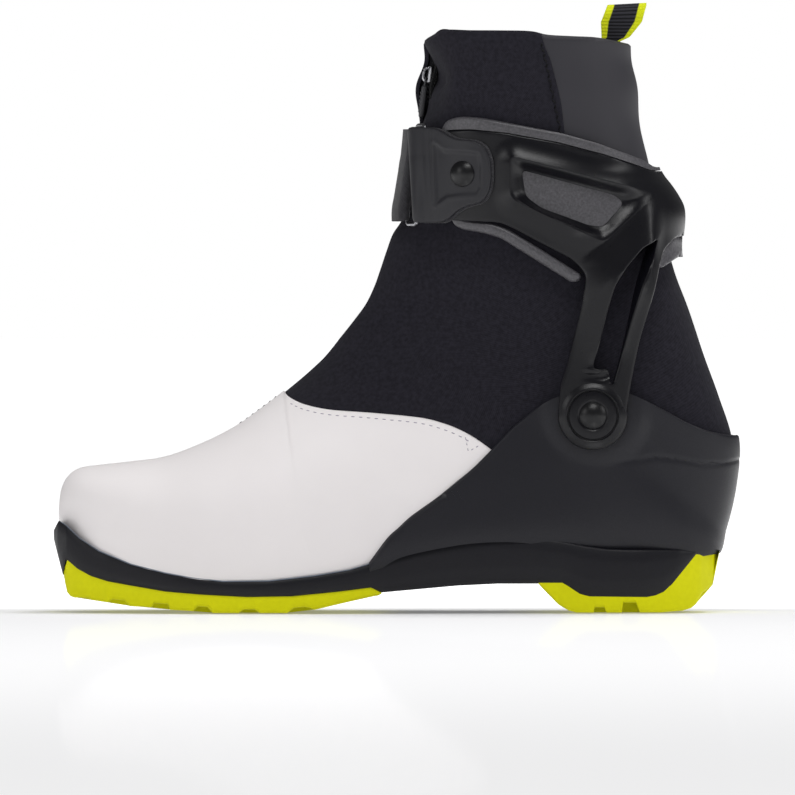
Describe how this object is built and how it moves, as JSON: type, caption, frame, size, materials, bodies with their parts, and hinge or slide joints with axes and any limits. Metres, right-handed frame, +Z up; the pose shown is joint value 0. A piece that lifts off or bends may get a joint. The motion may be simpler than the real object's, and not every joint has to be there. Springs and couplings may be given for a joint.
{
  "type": "cross-country ski boot",
  "caption": "High skating-style ski boot with a pivoting plastic cuff, hook and loop strap, zipped fabric upper and rubber sole.",
  "frame": {"origin": "on the ground, under the middle of the boot's length and width", "axes": "+Z up, +X from the toe to the heel, -Y the outer side of the left foot"},
  "size_m": [0.2886, 0.0996, 0.2552],
  "materials": {
    "toe_leather": "smooth coated synthetic leather, satin",
    "softshell": "fine woven stretch fabric, matt",
    "coated_panel": "smooth coated stretch panel, matt",
    "lining": "brushed insulating lining",
    "insole_foam": "fabric covered foam",
    "board": "fibre board",
    "counter_plastic": "moulded, satin",
    "sole_plastic": "moulded, satin",
    "sole_rubber": "moulded, satin",
    "cuff_plastic": "moulded, semi-gloss",
    "cuff_grain": "grained",
    "strap_web": "hook and loop webbing, loop side out",
    "anchor_plastic": "moulded, matt",
    "zip_tape": "woven tape with coil teeth",
    "zip_metal": "cast",
    "puller_rubber": "moulded",
    "rivet_metal": "black, satin",
    "steel": "plated",
    "loop_web": "ribbed webbing with bright edges"
  },
  "bodies": {
    "boot": {"sole_plate": "sole_plastic", "front_outsole": "sole_rubber", "heel_outsole": "sole_rubber", "binding_bar": "steel", "lasting_board": "board", "insole": "insole_foam", "toe_cap": "toe_leather", "softshell_foot": "softshell", "softshell_ankle": "softshell", "liner_foot": "lining", "liner_ankle": "lining", "tongue": "lining", "heel_counter": "counter_plastic", "zip_tape_foot": "zip_tape", "zip_tape_ankle": "zip_tape", "pivot_rivet_lateral": "rivet_metal", "pivot_rivet_medial": "rivet_metal", "pivot_disc_lateral": "cuff_plastic", "pivot_disc_medial": "cuff_plastic", "pivot_washer_lateral": "steel", "pivot_washer_medial": "steel"},
    "cuff": {"cuff_frame": "cuff_plastic", "cuff_liner": "cuff_grain", "softshell_collar": "softshell", "rear_collar_panel": "coated_panel", "liner_collar": "lining", "zip_tape_collar": "zip_tape", "pull_loop": "loop_web", "strap_anchor": "anchor_plastic", "strap_rivet_lateral": "rivet_metal", "strap_inner": "strap_web", "strap_rivet_medial": "rivet_metal", "strap_ring": "steel"},
    "strap_flap": {"strap_flap": "strap_web"},
    "zip_slider": {"zip_slider": "zip_metal"},
    "zip_puller": {"zip_puller": "puller_rubber"}
  },
  "joints": [
    {"name": "cuff_flex", "type": "hinge", "parent": "boot", "child": "cuff", "pos_m": [0.0819, 0, 0.0828], "axis": [0, -1, 0], "range_deg": [-6, 18], "stiffness_Nm_per_rad": 3, "deforming": ["softshell_ankle", "liner_ankle", "zip_tape_ankle", "tongue"]},
    {"name": "strap_peel", "type": "hinge", "parent": "cuff", "child": "strap_flap", "pos_m": [0.0063, -0.0178, 0.1836], "axis": [0.1009, 0, 0.9949], "range_deg": [0, 120]},
    {"name": "zip_slide", "type": "slide", "parent": "cuff", "child": "zip_slider", "axis": [0.1191, 0, 0.9929], "range_m": [-0.01, 0.006]},
    {"name": "zip_puller_swing", "type": "hinge", "parent": "zip_slider", "child": "zip_puller", "pos_m": [0.01184, 0, 0.22405], "axis": [0, 1, 0], "range_deg": [0, 110]}
  ]
}
